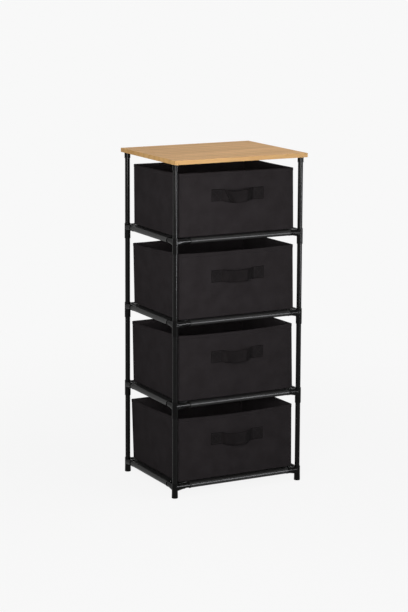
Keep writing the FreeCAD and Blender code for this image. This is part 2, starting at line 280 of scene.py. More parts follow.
summed = add(tree, "ShaderNodeMath", {0: mottled.outputs[0], 1: weave.outputs[0]}, operation="ADD")
halved = add(tree, "ShaderNodeMath", {0: summed.outputs[0], 1: 0.5}, operation="MULTIPLY")
yarn = add(tree, "ShaderNodeMix", {
    0: halved.outputs[0], 6: linear("#131313"), 7: linear("#1e1e1e")}, data_type="RGBA")
relief = add(tree, "ShaderNodeBump", {"Height": weave.outputs[0], "Strength": 0.15, "Distance": 0.08 * MM})
tree.links.new(yarn.outputs[2], shader.inputs["Base Color"])
tree.links.new(relief.outputs[0], shader.inputs["Normal"])

# Thread: black spun polyester in plies 1.5 mm long, with a duller, rounder look than the cloth that it holds.
sewing_thread, tree, shader = new_finish("sewing_thread", Roughness=0.6, IOR=1.5, Specular_IOR_Level=0.15)
place = add(tree, "ShaderNodeTexCoord", {}).outputs["Object"]
ply = add(tree, "ShaderNodeTexNoise", {"Vector": place, "Scale": METRE / 1.5, "Detail": 1.0})
spun = add(tree, "ShaderNodeMix", {
    0: ply.outputs[0], 6: linear("#100f0f"), 7: linear("#201e1e")}, data_type="RGBA")
tree.links.new(spun.outputs[2], shader.inputs["Base Color"])


def sew(name, runs, body, length=3.4, gap=1.2, thick=0.34):
    """Rows of short rounded stitches, sunk a little in the cloth, along runs of (place, outward) pairs."""
    points, faces = [], []
    sides, sections, look_ahead, sunk = 6, 5, 0.3, 0.08
    for run in runs:
        travelled = [0.0]
        for (a, _), (b, _) in zip(run, run[1:]):
            travelled.append(travelled[-1] + (b - a).length)

        def at(distance):
            i = next((k for k in range(1, len(run)) if travelled[k] >= distance), len(run) - 1)
            share = (distance - travelled[i - 1]) / max(travelled[i] - travelled[i - 1], 1e-6)
            return run[i - 1][0].lerp(run[i][0], share), run[i - 1][1].lerp(run[i][1], share).normalized()

        count = max(1, int(travelled[-1] / (length + gap)))
        pitch = travelled[-1] / count
        for stitch in range(count):
            rings = []
            for section in range(sections):
                share = section / (sections - 1)
                distance = stitch * pitch + gap / 2 + share * (pitch - gap)
                place, out = at(distance)
                ahead, _ = at(min(distance + look_ahead, travelled[-1]))
                back, _ = at(max(distance - look_ahead, 0.0))
                side = out.cross(ahead - back).normalized()
                swell = sin(pi * (0.12 + 0.76 * share)) ** 0.5
                rings.append(range(len(points), len(points) + sides))
                for j in range(sides):
                    turn = 2 * pi * j / sides
                    radial = side * cos(turn) * thick * 0.8 + out * sin(turn) * thick * 0.6
                    points.append(place + radial * swell + out * (thick * 0.3 * swell - sunk))
            faces += close_body(rings)
    piece = make_piece(name, points, faces, [(0.0, 0.0)] * len(points), sewing_thread)
    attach(piece, body)
    return piece


def ripple_below(x, y):
    """How far the taut sheet lies below the crown of the rails: slack ripples, none where a rail holds it."""
    free = max(0.0, 1 - (x / HELD_X) ** 8) * max(0.0, 1 - (y / HELD_Y) ** 8)
    return SHEET_RIPPLE * free * max(0.0, 0.35 + 0.65 * noise.noise(Vector((x / 70, y / 55, 3.1))))


def corner_droop(x, y):
    """How far the sheet hangs down in its corners, where no sleeve holds it."""
    start_x = SLEEVE_X[1] if x > 0 else -SLEEVE_X[0]
    past_x = min(1.0, max(0.0, (abs(x) - start_x) / (CORNER_X - start_x)))
    past_y = min(1.0, max(0.0, (abs(y) - SLEEVE_Y[1]) / (CORNER_Y - SLEEVE_Y[1])))
    return CORNER_DROOP * past_x * past_y


def rail_height(tier):
    """How high the axes of a tier's rails are above the floor."""
    return LOWEST_RAIL + TIER_PITCH * (tier - 1)


def stops_between(low, high, step):
    count = max(1, round((high - low) / step))
    return [low + (high - low) * k / count for k in range(count + 1)]


def cloth_stops(sleeve, corner, leg):
    """The stops along one axis: those of its sleeves, close at the hems, and those of the whole sheet."""
    hems = [sleeve[0] + 2, sleeve[0] + 5, sleeve[1] - 5, sleeve[1] - 2]
    along_sleeve = sorted(stops_between(*sleeve, STOP_STEP) + hems)
    low_corner = stops_between(-corner, sleeve[0], CORNER_STEP)
    high_corner = stops_between(sleeve[1], corner, CORNER_STEP)
    return along_sleeve, sorted(set(along_sleeve + low_corner + high_corner + [-leg, leg]))


def sleeve_section(along, ends, seed):
    """The cloth cut across a sleeve, as (outward, up, used cloth): round the rail and back to a flap."""
    from_end = min(along - ends[0], ends[1] - along)
    hem = SLEEVE_HEM_THICK * exp(-((from_end / SLEEVE_HEM) ** 8))
    section = [(0.0, CLOTH_MIDDLE, 0.0)]
    turns = 24
    for j in range(1, turns + 1):
        turn = WRAP * j / turns
        slack = SLEEVE_SLACK * max(0.0, noise.noise(Vector((along / 26, turn * 0.8, seed)))) * sin(turn / 2)
        radius = CLOTH_MIDDLE + (hem + slack) * sin(min(turn * 1.6, pi) / 2)
        section.append((sin(turn) * radius, cos(turn) * radius, turn * CLOTH_MIDDLE))
    out, _, used = section[-1]
    for k in (1, 2, 3):
        section.append((out - FLAP * k / 3, CLOTH_MIDDLE - FLAP_DROP, used + FLAP * k / 3))
    return section


def make_shelf_cloth(tier):
    rail = rail_height(tier)
    crown = rail + CLOTH_MIDDLE
    points, faces, maps, index = [], [], [], {}
    sleeve_xs, xs = cloth_stops(SLEEVE_X, CORNER_X, LEG_X)
    sleeve_ys, ys = cloth_stops(SLEEVE_Y, CORNER_Y, LEG_Y)

    def vertex(x, y, z, u, v):
        key = (round(x, 2), round(y, 2), round(z, 2))
        if key not in index:
            index[key] = len(points)
            points.append((x, y, z))
            maps.append((u, v))
        return index[key]

    def level(x, y):
        return crown - ripple_below(x, y) - corner_droop(x, y)

    for x0, x1 in zip(xs, xs[1:]):
        for y0, y1 in zip(ys, ys[1:]):
            under_front = x0 >= SLEEVE_X[0] and x1 <= SLEEVE_X[1]
            under_side = y0 >= SLEEVE_Y[0] and y1 <= SLEEVE_Y[1]
            inside = max(abs(x0), abs(x1)) <= CORNER_X and max(abs(y0), abs(y1)) <= CORNER_Y
            if under_front or under_side or inside:
                square = ((x0, y0), (x1, y0), (x1, y1), (x0, y1))
                faces.append(tuple(vertex(x, y, level(x, y), x, y) for x, y in square))

    # The notches' edges, turned down and hemmed just inside the joints' arms. Each hem runs on a little way
    # under the end of the sleeve beside it. An edge's point holds its place, its way out and its tuck.
    hem_line = ((0.0, 0.0), (0.3, 0.3), (0.45, 1.0), (0.4, 3.5), (0.3, CORNER_HEM))
    for sign_x in (-1, 1):
        for sign_y in (-1, 1):
            start_x = SLEEVE_X[1] if sign_x > 0 else -SLEEVE_X[0]
            start_y = SLEEVE_Y[1]
            past_x = sorted(abs(x) for x in xs if start_x <= sign_x * x < CORNER_X)
            past_y = sorted((abs(y) for y in ys if start_y <= sign_y * y < CORNER_Y), reverse=True)
            edge = [(start_x - under, CORNER_Y, 0, 1, HEM_TUCK) for under in (6.0, 2.5)]
            edge += [(x, CORNER_Y, 0, 1, 0.0) for x in past_x]
            edge += [(CORNER_X, CORNER_Y, 1, 1, 0.0)]
            edge += [(CORNER_X, y, 1, 0, 0.0) for y in past_y]
            edge += [(CORNER_X, start_y - under, 1, 0, HEM_TUCK) for under in (2.5, 6.0)]
            rows = []
            for out, down in hem_line:
                row = []
                for x, y, out_x, out_y, tucked in edge:
                    high = level(sign_x * x, sign_y * y) - max(down, tucked)
                    row.append(vertex(sign_x * (x + out_x * out), sign_y * (y + out_y * out), high,
                                      sign_x * (x + out_x * down), sign_y * (y + out_y * down)))
                rows.append(row)
            faces += bridge(rows, flip=sign_x * sign_y < 0)

    # The sleeves, first round the front and back rails, then round the side rails.
    for sign in (-1, 1):
        for stops, ends, seed, leg, at_side in ((sleeve_xs, SLEEVE_X, 0, LEG_Y, False),
                                                (sleeve_ys, SLEEVE_Y, 3, LEG_X, True)):
            rows = []
            for along in stops:
                row = []
                for out, high, used in sleeve_section(along, ends, tier * 7 + seed + sign):
                    place, flat = sign * (leg + out), sign * (leg + used)
                    if at_side:
                        row.append(vertex(place, along, rail + high, flat, along))
                    else:
                        row.append(vertex(along, place, rail + high, along, flat))
                rows.append(row)
            faces += bridge(rows if at_side else list(zip(*rows)), flip=sign < 0)
    cloth = make_piece(f"shelf_cloth_{tier}_sewn", points, faces, maps, polyester_weave)
    thickness = cloth.modifiers.new("cloth thickness", "SOLIDIFY")
    thickness.thickness = CLOTH_THICK * MM
    thickness.offset = 0.0
    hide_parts(f"shelf_cloth_{tier}")
    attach(cloth, "frame")

    # The seam that holds each flap, seen from below, near the flap's edge.
    low = rail + CLOTH_MIDDLE - FLAP_DROP - CLOTH_THICK / 2
    down = Vector((0, 0, -1))
    inset = FLAP + sin(WRAP) * -CLOTH_MIDDLE - SEAM_IN
    runs = []
    for sign in (-1, 1):
        seam_x = (SLEEVE_X[0] + SEAM_SHORT, SLEEVE_X[1] - SEAM_SHORT)
        seam_y = (SLEEVE_Y[0] + SEAM_SHORT, SLEEVE_Y[1] - SEAM_SHORT)
        runs.append([(Vector((x, sign * (LEG_Y - inset), low)), down) for x in seam_x])
        runs.append([(Vector((sign * (LEG_X - inset), y, low)), down) for y in seam_y])
    seam = sew(f"shelf_cloth_{tier}_seams", runs, "frame")

    # The flat cut: a cross of two strips as wide as the sleeves, and the small corners between them.
    turned_in = WRAP * CLOTH_MIDDLE + FLAP
    wide = 2 * LEG_X + 2 * turned_in
    deep = 2 * LEG_Y + 2 * turned_in
    span_x, span_y = SLEEVE_X[1] - SLEEVE_X[0], SLEEVE_Y[1] - SLEEVE_Y[0]
    cut_area = span_x * deep + span_y * wide - span_x * span_y
    cut_area += 2 * (2 * CORNER_X - span_x + 2 * CORNER_HEM) * (CORNER_Y - SLEEVE_Y[1] + CORNER_HEM)


for tier in TIERS:
    make_shelf_cloth(tier)


# Drawers: open-topped boxes of black non-woven cloth, sewn round sheets of card and folded over at the rim,
# where one row of stitches holds the hem. Soft at the edges, each one leans and slumps a little differently.
STAND = 8.8
DRAWER_HEIGHT = 193.0
LEFT_X = -192.0
DRAWER_WIDTH = -2 * LEFT_X
FRONT_Y = -148.0
BACK_CORNER_IN = (1.0, 2.0)
WALL = 2.6
FLOOR = 2.8
BELLY_RISE = 0.5
CORNER_ROUND = 5.0
HEM = 11.0
HEM_OUT = 0.55
RIM_SAG = 1.5
WALL_BOW = 0.7
WALL_DIMPLE = 0.28
CARD_EDGE = 6.0
PAST_CARD_IN = 0.5
CORNER_SEAM_IN = 0.45

# Each drawer's lean, as photographed: right side at rim and foot, back at rim and foot, and how far the rim
# stands above its nominal height at the front left, front middle, front right, back right and back left.
DRAWER_LEAN = {
    4: {"right": (191.0, 194.0), "back": (151.5, 149.0), "rim": (-5.4, -7.2, -8.8, -9.2, -10.9)},
    3: {"right": (192.7, 196.0), "back": (157.0, 148.8), "rim": (2.6, 0.0, 3.2, 1.5, -9.5)},
    2: {"right": (191.9, 196.0), "back": (162.9, 155.5), "rim": (3.6, 0.2, 6.0, 3.5, -8.6)},
    1: {"right": (194.4, 196.0), "back": (169.0, 155.8), "rim": (-1.4, -5.2, 1.0, 0.5, -10.8)},
}

# Spun-bonded polypropylene, its matted fibres pressed with a grid of heat-sealed points 1.6 mm apart: dead
# matt and charcoal black, slightly clouded. The fibres are drawn 2.5 mm long and thicker than they are.
spunbond, tree, shader = new_finish("spunbond", Roughness=0.85, IOR=1.49, Specular_IOR_Level=0.02,
                                    Sheen_Weight=0.02, Sheen_Roughness=0.5, Sheen_Tint=linear("#a8a8ae"))
flat_place = add(tree, "ShaderNodeUVMap", {}, uv_map="cut").outputs[0]
turned = add(tree, "ShaderNodeMapping", {"Vector": flat_place, "Rotation": (0, 0, pi / 4)})
seals = add(tree, "ShaderNodeTexVoronoi", {
    "Vector": turned.outputs[0], "Scale": METRE / 1.6, "Randomness": 0.0}, distance="EUCLIDEAN")
sealed = add(tree, "ShaderNodeMapRange", {
    "Value": seals.outputs["Distance"], "From Min": 0.16, "From Max": 0.34}, interpolation_type="SMOOTHSTEP")
fibre_place = add(tree, "ShaderNodeMapping", {"Vector": flat_place, "Scale": (1.0, 2.2, 1.0)})
fibres = add(tree, "ShaderNodeTexNoise", {
    "Vector": fibre_place.outputs[0], "Scale": METRE / 2.5, "Detail": 5.0, "Roughness": 0.65,
    "Distortion": 1.0})
cloudy = add(tree, "ShaderNodeTexNoise", {"Vector": flat_place, "Scale": METRE / 45, "Detail": 4.0})
fibre_share = add(tree, "ShaderNodeMapRange", {
    "Value": fibres.outputs[0], "From Min": 0.3, "From Max": 0.7, "To Max": 0.6})
cloud_share = add(tree, "ShaderNodeMapRange", {
    "Value": cloudy.outputs[0], "From Min": 0.3, "From Max": 0.7, "To Max": 0.4})
tone = add(tree, "ShaderNodeMath", {0: fibre_share.outputs[0], 1: cloud_share.outputs[0]}, operation="ADD")
matted = add(tree, "ShaderNodeMix", {
    0: tone.outputs[0], 6: linear("#1f1c1d"), 7: linear("#2e2b2d")}, data_type="RGBA")
height = add(tree, "ShaderNodeMath", {
    0: fibres.outputs[0], 1: 0.5, 2: sealed.outputs[0]}, operation="MULTIPLY_ADD")
relief = add(tree, "ShaderNodeBump", {"Height": height.outputs[0], "Strength": 0.4, "Distance": 0.1 * MM})
tree.links.new(matted.outputs[2], shader.inputs["Base Color"])
tree.links.new(relief.outputs[0], shader.inputs["Normal"])


def rim_lift(tier, side, share):
    """How far the rim stands above its nominal height at a share of the way along a side."""
    front_left, front_middle, front_right, back_right, back_left = DRAWER_LEAN[tier]["rim"]
    if side == 0:
        straight = front_left + (front_right - front_left) * share
        return straight + (front_middle - (front_left + front_right) / 2) * 4 * share * (1 - share)
    start, end = {1: (front_right, back_right), 2: (back_right, back_left), 3: (back_left, front_left)}[side]
    eased = share * share * (3 - 2 * share)
    return start + (end - start) * eased - RIM_SAG * sin(pi * share)


def wall_swell(tier, side, along, from_corner, level):
    """How far a wall stands out from its flat plane: the card bows, and the cloth is slack past the card."""
    seed = tier * 11.3 + side * 3.7
    bow = WALL_BOW * noise.noise(Vector((along / 130, level * 1.6, seed)))
    dimple = WALL_DIMPLE * noise.noise(Vector((along / 34, level * 5, seed + 40)))
    past_card = -PAST_CARD_IN * exp(-((from_corner - CARD_EDGE) / 3.5) ** 2)
    free = min(1.0, level * 6, (1 - level) * 6)
    return (bow + dimple) * min(1.0, from_corner / 30) + past_card * (0.25 + 0.75 * free)


def drawer_outline(tier, level, inset):
    """Points round the drawer at a level from foot (0) to rim (1): place, outward, side, share of the side,
    cloth used so far, and the distance from the nearest corner."""
    lean = DRAWER_LEAN[tier]
    left, front = LEFT_X + inset, FRONT_Y + inset
    right = lean["right"][1] + (lean["right"][0] - lean["right"][1]) * level - inset
    back = lean["back"][1] + (lean["back"][0] - lean["back"][1]) * level - inset
    corners = [Vector((left, front, 0)), Vector((right, front, 0)),
               Vector((right - BACK_CORNER_IN[0], back - BACK_CORNER_IN[1], 0)), Vector((left, back, 0))]
    curve = max(CORNER_ROUND - inset, 1.0)
    counts = (48, 38, 48, 38)
    found, used = [], 0.0
    for side in range(4):
        start, end = corners[side], corners[(side + 1) % 4]
        along = (end - start).normalized()
        out = Vector((along.y, -along.x, 0))
        reach = (end - start).length
        for k in range(counts[side] + 1):
            travel = curve + (reach - 2 * curve) * k / counts[side]
            from_corner = min(travel, reach - travel)
            found.append((start + along * travel, out, side, travel / reach, used + travel, from_corner))
        used += reach
        after = (corners[(side + 2) % 4] - end).normalized()
        turn_out = Vector((after.y, -after.x, 0))
        centre = end - along * curve + after * curve
        for k in range(1, 8):
            share = k / 8
            bent = (out * cos(pi / 2 * share) + turn_out * sin(pi / 2 * share)).normalized()
            near, near_share = (side, 1.0) if share <= 0.5 else ((side + 1) % 4, 0.0)
            found.append((centre + bent * curve, bent, near, near_share, used + (share - 0.5) * curve, 0.0))
    return found


def make_drawer_shell(tier):
    foot = rail_height(tier) + STAND
    body_height = DRAWER_HEIGHT - BELLY_RISE
    points, maps, rows = [], [], []

    def corner_seam(out, from_corner):
        """How far the cloth is drawn in along the sewn line down each upright corner."""
        off_line = abs(abs(out.x) - abs(out.y)) * 3.5 if from_corner == 0.0 else 9.0
        return -CORNER_SEAM_IN * exp(-(off_line ** 2))

    def ring(level, inset, lift, swell_share, map_shift=0.0, flat=False, shrink=1.0):
        row = []
        for place, out, side, share, used, from_corner in drawer_outline(tier, level, inset):
            swell = wall_swell(tier, side, used, from_corner, level) + corner_seam(out, from_corner)
            high = foot + BELLY_RISE + level * (body_height + rim_lift(tier, side, share)) + lift
            spot = (place + out * swell * swell_share) * shrink
            row.append(len(points))
            points.append((spot.x, spot.y, high))
            maps.append((spot.x, spot.y) if flat else (used + map_shift, high))
        rows.append(row)

    # Underneath: a sewn bottom, flat in the middle and rising at the edge to clear the joints' arms.
    for middle_share in (0.12, 0.3, 0.5, 0.68, 0.77):
        ring(0.0, 0.0, -BELLY_RISE, 0.0, flat=True, shrink=middle_share)
    for inset, lift in ((31.0, -BELLY_RISE), (21.0, -0.12), (3.0, -0.05)):
        ring(0.0, inset, lift, 0.0, flat=True)
    ring(0.0, 1.2, 0.0, 0.3, flat=True)
    ring(0.0, 0.3, 0.45, 0.6)
    for lift in (1.0, 1.8, 2.6, 4.0):
        ring(0.0, -0.35 * exp(-((lift - 1.4) / 0.9) ** 2), lift, 1.0)

    # The walls, up to the row of stitches that holds the hem, and the cloth drawn in along that row.
    stitch_level = 1 - HEM / body_height
    for k in range(1, 22):
        ring(0.03 + (stitch_level - 0.05) * k / 21, 0.0, 0.0, 1.0)
    for above, depth in ((-1.6, 0.0), (-0.8, 0.12), (-0.3, 0.38), (0.0, 0.45),
                         (0.3, 0.3), (0.8, -0.2), (1.6, -0.5)):
        ring(stitch_level + above / body_height, depth, 0.0, 1.0)
    for above in (3.5, 6.0, 8.0, 9.4):
        ring(stitch_level + above / body_height, -HEM_OUT - 0.1 * sin(above), 0.0, 1.0)

    # The rim folds over the card and the hem runs down inside, then the wall's lining down to the floor.
    half = (WALL + HEM_OUT) / 2
    for k in range(9):
        turn = pi * k / 8
        ring(1.0, -HEM_OUT + half * (1 - cos(turn)), -half + half * sin(turn), 1.0, map_shift=0.4)
    for below, depth in ((4.0, 0.1), (8.0, 0.1), (10.2, 0.0), (10.8, -0.3),
                         (11.0, -0.4), (11.3, -0.3), (12.4, 0.0)):
        ring(1 - below / body_height, WALL - depth * 0.9, 0.0, 1.0)
    for k in range(1, 15):
        ring(stitch_level * (1 - k / 15) + 0.012, WALL, 0.0, 1.0)
    ring(0.0, WALL + 0.2, FLOOR - BELLY_RISE + 0.9, 0.5)
    ring(0.0, WALL + 1.4, FLOOR - BELLY_RISE + 0.1, 0.2, flat=True)
    for middle_share in (0.9, 0.6, 0.3, 0.1):
        ring(0.0, 0.0, FLOOR - BELLY_RISE, 0.0, flat=True, shrink=middle_share)
    shell = make_piece(f"drawer_{tier}_box", points, close_body(rows), maps, spunbond)
    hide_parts(f"drawer_{tier}_shell", f"drawer_{tier}_wall_cards")
    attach(shell, f"drawer_{tier}")

    # The row of stitches round the hem, outside and inside.
    runs = []
    for inset, facing in ((0.42, 1), (WALL - 0.3, -1)):
        run = []
        for place, out, side, share, used, from_corner in drawer_outline(tier, stitch_level, inset):
            swell = wall_swell(tier, side, used, from_corner, stitch_level)
            high = foot + BELLY_RISE + stitch_level * (body_height + rim_lift(tier, side, share))
            run.append((place + out * swell + Vector((0, 0, high)), out * facing))
        runs.append(run + run[:1])
    sew(f"drawer_{tier}_hem_stitches", runs, f"drawer_{tier}")


for tier in TIERS:
    make_drawer_shell(tier)


# Base boards: a sheet of board in a sleeve of the same cloth, dropped loose into each drawer to flatten its
# floor. The cover is pulled round the board's edges and is a little slack on top.
BOARD_THICK = 3.0
BOARD_HALF_X = 188.4
BOARD_FRONT = -144.4
BOARD_BACK = 147.4
BOARD_ROUND = 4.0
COVER_SLACK = 0.55


def make_base_board(tier):
    low = rail_height(tier) + STAND + FLOOR
    arcs = []
    for x, y, start in ((BOARD_HALF_X, BOARD_FRONT, -pi / 2), (BOARD_HALF_X, BOARD_BACK, 0),
                        (-BOARD_HALF_X, BOARD_BACK, pi / 2), (-BOARD_HALF_X, BOARD_FRONT, pi)):
        centre_x = x - copysign(BOARD_ROUND, x)
        centre_y = y - copysign(BOARD_ROUND, y)
        turns = [start + pi / 8 * k for k in range(5)]
        arcs.append([(centre_x + BOARD_ROUND * cos(t), centre_y + BOARD_ROUND * sin(t)) for t in turns])
    outline = []
    steps = 32
    for arc, next_arc in zip(arcs, arcs[1:] + arcs[:1]):
        (x0, y0), (x1, y1) = arc[-1], next_arc[0]
        outline += arc
        outline += [(x0 + (x1 - x0) * k / steps, y0 + (y1 - y0) * k / steps) for k in range(1, steps)]
    points, maps, rows = [], [], []

    def ring(scale, inset, high, slack):
        row = []
        for x, y in outline:
            share = scale * (1 - inset / hypot(x, y))
            x, y = x * share, y * share
            row.append(len(points))
            points.append((x, y, high + slack * noise.noise(Vector((x / 48, y / 60, tier * 5.5)))))
            maps.append((x, y))
        rows.append(row)

    for scale in (0.1, 0.5, 0.97):
        ring(scale, 0.0, low, 0.0)
    for inset, rise, slack in ((1.2, 0.0, 0.0), (0.3, 0.5, 0.0), (0.0, BOARD_THICK / 2, 0.0),
                               (0.3, BOARD_THICK - 0.5, 0.1), (1.2, BOARD_THICK, 0.3)):
        ring(1.0, inset, low + rise, slack)
    for scale in (0.96, 0.88, 0.8, 0.7, 0.6, 0.5, 0.4, 0.3, 0.2, 0.1, 0.02):
        ring(scale, 0.0, low + BOARD_THICK + 0.1, COVER_SLACK)
    board = make_piece(f"drawer_{tier}_covered_board", points, close_body(rows), maps, spunbond)
    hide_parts(f"drawer_{tier}_base_board")
    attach(board, f"drawer_{tier}")


for tier in TIERS:
    make_base_board(tier)


# Handles: one length of black polypropylene webbing on each drawer, its ends sewn flat with a square and a
# cross. Between them the webbing is longer than the gap, so it stands out as a loop and sags a little.
WEBBING_WIDTH = 36.0
WEBBING_THICK = 1.6
WEBBING_OFF_CLOTH = 0.15
WEBBING_EDGE = 0.35
PATCH = 34.0
STITCHES_FROM_END = 3.0
STITCHES_FROM_EDGE = 3.5
USUAL_CREST = 20.0
CREASE_WIDTH = 5.0
RETURN_X = 36.0
RETURN_WIDTH = 11.0
RETURN_TURN = 6.0

# The loop seen from above: places in millimetres, each with the share of the crest's depth that the webbing
# stands off there. The rise counts from the loop's left end, the middle from the unit's middle, and the
# steep return from the crest's end.
RISE_SHARES = ((0, 0), (4, 0.12), (12, 0.4), (24, 0.62))
MIDDLE_SHARE = (-6, 0.85)
RETURN_SHARES = ((-8, 0.99), (-3, 1.0), (3, 0.9), (24, 0.18), (29, 0.04))

# Each handle as it was sewn and as it hangs: its two ends, how high its middle line is above the rail's
# axis at each end, how deep the loop's crest is and where it ends, how far the loop sags, how far its lower
# edge flares, and a crease, as its places at the top and bottom edges and its depth.
HANDLES = {
    4: {"ends": (-85, 88), "heights": (126.2, 124.8), "loop": (25, 21), "sag": 5.8, "flare": 0.5,
        "crease": (-39, -22, 7)},
    3: {"ends": (-84, 90.5), "heights": (129.8, 131), "loop": (23, 24), "sag": 2.6, "flare": 0.8,
        "crease": (-33, -38, 1.5)},
    2: {"ends": (-83.5, 91), "heights": (131.6, 134.2), "loop": (22, 23), "sag": 4.2, "flare": 1.2,
        "crease": (-41, -28, 3)},
    1: {"ends": (-83, 92), "heights": (127, 126.4), "loop": (22, 23), "sag": 4.2, "flare": 1.5,
        "crease": (-50, -43, 3)},
}

# Webbing: a firm band of polypropylene yarn, blacker than the drawers' cloth and nearly as dull, with fine
# ribs across it. The ribs are 1.5 mm apart and the yarns along it 1.1 mm, near their real size.
webbing_weave, tree, shader = new_finish("webbing_weave", Roughness=0.6, IOR=1.49, Specular_IOR_Level=0.02,
                                         Sheen_Weight=0.01, Sheen_Roughness=0.4)
flat_place = add(tree, "ShaderNodeUVMap", {}, uv_map="cut").outputs[0]
ribs = add(tree, "ShaderNodeTexWave", {
    "Vector": flat_place, "Scale": WAVE_METRE / 1.5, "Distortion": 0.3}, bands_direction="X")
ends = add(tree, "ShaderNodeTexWave", {
    "Vector": flat_place, "Scale": WAVE_METRE / 1.1, "Distortion": 0.3}, bands_direction="Y")
yarns = add(tree, "ShaderNodeMath", {0: ribs.outputs["Fac"], 1: ends.outputs["Fac"]}, operation="MULTIPLY")
rubbed = add(tree, "ShaderNodeTexNoise", {"Vector": flat_place, "Scale": METRE / 30, "Detail": 4.0})
worn = add(tree, "ShaderNodeMath", {
    0: yarns.outputs[0], 1: 0.5, 2: rubbed.outputs[0]}, operation="MULTIPLY_ADD")
lifted = add(tree, "ShaderNodeMapRange", {"Value": worn.outputs[0], "From Min": 0.35, "From Max": 1.1})
band = add(tree, "ShaderNodeMix", {
    0: lifted.outputs[0], 6: linear("#121011"), 7: linear("#201d1e")}, data_type="RGBA")
relief = add(tree, "ShaderNodeBump", {"Height": yarns.outputs[0], "Strength": 0.6, "Distance": 0.2 * MM})
tree.links.new(band.outputs[2], shader.inputs["Base Color"])
tree.links.new(relief.outputs[0], shader.inputs["Normal"])


def loop_depth(x, left, right, crest, crest_end):
    """How far the webbing stands off the drawer at x, on a smooth curve through the loop's points."""
    line = [(left + place, share * crest) for place, share in RISE_SHARES]
    line += [(MIDDLE_SHARE[0], MIDDLE_SHARE[1] * crest)]
    line += [(crest_end + place, share * crest) for place, share in RETURN_SHARES] + [(right, 0)]
    if x <= left or x >= right:
        return 0.0
    i = next(k for k in range(1, len(line)) if x <= line[k][0])
    (x0, d0), (x1, d1) = line[i - 1], line[i]
    before, after = line[max(i - 2, 0)], line[min(i + 1, len(line) - 1)]
    gap = x1 - x0
    rise0 = (d1 - before[1]) / (x1 - before[0]) * gap if i > 1 else 0.0
    rise1 = (after[1] - d0) / (after[0] - x0) * gap if i < len(line) - 1 else 0.0
    t = (x - x0) / gap
    return max(0.0, d0 * (2 * t ** 3 - 3 * t ** 2 + 1) + d1 * (3 * t ** 2 - 2 * t ** 3)
               + rise0 * (t ** 3 - 2 * t ** 2 + t) + rise1 * (t ** 3 - t ** 2))


def make_handle(tier):
    rail = rail_height(tier)
    hang = HANDLES[tier]
    first, last = hang["ends"]
    height_first, height_last = hang["heights"]
    crease_top, crease_bottom, crease_deep = hang["crease"]
    inner_left, inner_right = first + PATCH, last - PATCH
    loop = (inner_left, inner_right, *hang["loop"])

    def wall_at(x, z):
        """Where the drawer's front cloth is, so that the sewn ends lie on it."""
        level = (z - rail - STAND - BELLY_RISE) / (DRAWER_HEIGHT - BELLY_RISE)
        along = x - LEFT_X
        return FRONT_Y - wall_swell(tier, 0, along, min(along, DRAWER_WIDTH - along), level)

    def middle_at(x):
        return rail + height_first + (height_last - height_first) * (x - first) / (last - first)

    stations = [first + (last - first) * k / 150 for k in range(151)]
    across = [k / 14 - 0.5 for k in range(15)]
    points, maps, rings = [], [], []
    used = 0.0
    for i, x in enumerate(stations):
        depth = loop_depth(x, *loop)
        if i > 0:
            used += hypot(x - stations[i - 1], depth - loop_depth(stations[i - 1], *loop))
        slope = loop_depth(x + 0.5, *loop) - loop_depth(x - 0.5, *loop)
        length = hypot(1, slope)
        standing = depth / USUAL_CREST
        along = min(max((x - inner_left) / (inner_right - inner_left), 0.0), 1.0)
        droop = hang["sag"] * 17.5 * along ** 1.5 * (1 - along) ** 3
        turned = RETURN_TURN * exp(-((x - RETURN_X) / RETURN_WIDTH) ** 2)
        held = min(1.0, standing * 8)
        rings.append(range(len(points), len(points) + 2 * len(across)))
        for skin, order in ((1, across), (0, across[::-1])):
            for share in order:
                crease_x = crease_top + (crease_bottom - crease_top) * (0.5 - share)
                dent = min(depth * 0.7, crease_deep * exp(-((x - crease_x) / CREASE_WIDTH) ** 2))
                flare = hang["flare"] * standing * -2 * share + turned * share
                curl = 0.6 * standing * 4 * share * share
                z = middle_at(x) + share * WEBBING_WIDTH * (1 - 0.02 * standing) - droop
                edge = WEBBING_EDGE * abs(2 * share) ** 8
                thick = (WEBBING_THICK - 2 * edge) * skin
                wall = wall_at(x, z) * (1 - held) + wall_at(x, middle_at(x)) * held
                off = WEBBING_OFF_CLOTH + edge + max(0.0, depth - dent + flare - curl) + thick / length
                points.append((x - slope / length * thick, wall - off, z))
                maps.append((used + (0 if skin else 300), share * WEBBING_WIDTH))
    columns = list(zip(*rings))
    faces = bridge(columns + columns[:1])
    for j in range(len(across) - 1):
        start, end = rings[0], rings[-1]
        faces.append((start[j], start[j + 1], start[-2 - j], start[-1 - j]))
        faces.append((end[j], end[-1 - j], end[-2 - j], end[j + 1]))
    strap = make_piece(f"drawer_{tier}_webbing", points, faces, maps, webbing_weave)
    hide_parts(f"drawer_{tier}_handle")
    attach(strap, f"drawer_{tier}")

    # A square of stitches round each sewn end, and a cross inside it.
    runs = []
    high = WEBBING_WIDTH / 2 - STITCHES_FROM_EDGE
    low = -high
    for outer, inner in ((first + STITCHES_FROM_END, inner_left - STITCHES_FROM_END),
                         (last - STITCHES_FROM_END, inner_right + STITCHES_FROM_END)):
        square = [(outer, low), (outer, high), (inner, high), (inner, low)]
        cross = [(square[0], square[2]), (square[1], square[3])]
        for (x0, z0), (x1, z1) in list(zip(square, square[1:] + square[:1])) + cross:
            run = []
            for k in range(9):
                x = x0 + (x1 - x0) * k / 8
                z = middle_at(x) + z0 + (z1 - z0) * k / 8
                on_top = wall_at(x, z) - WEBBING_OFF_CLOTH - WEBBING_THICK
                run.append((Vector((x, on_top, z)), Vector((0, -1, 0))))
            runs.append(run)
    sew(f"drawer_{tier}_handle_stitches", runs, f"drawer_{tier}", length=2.6, gap=0.9, thick=0.36)


for tier in TIERS:
    make_handle(tier)


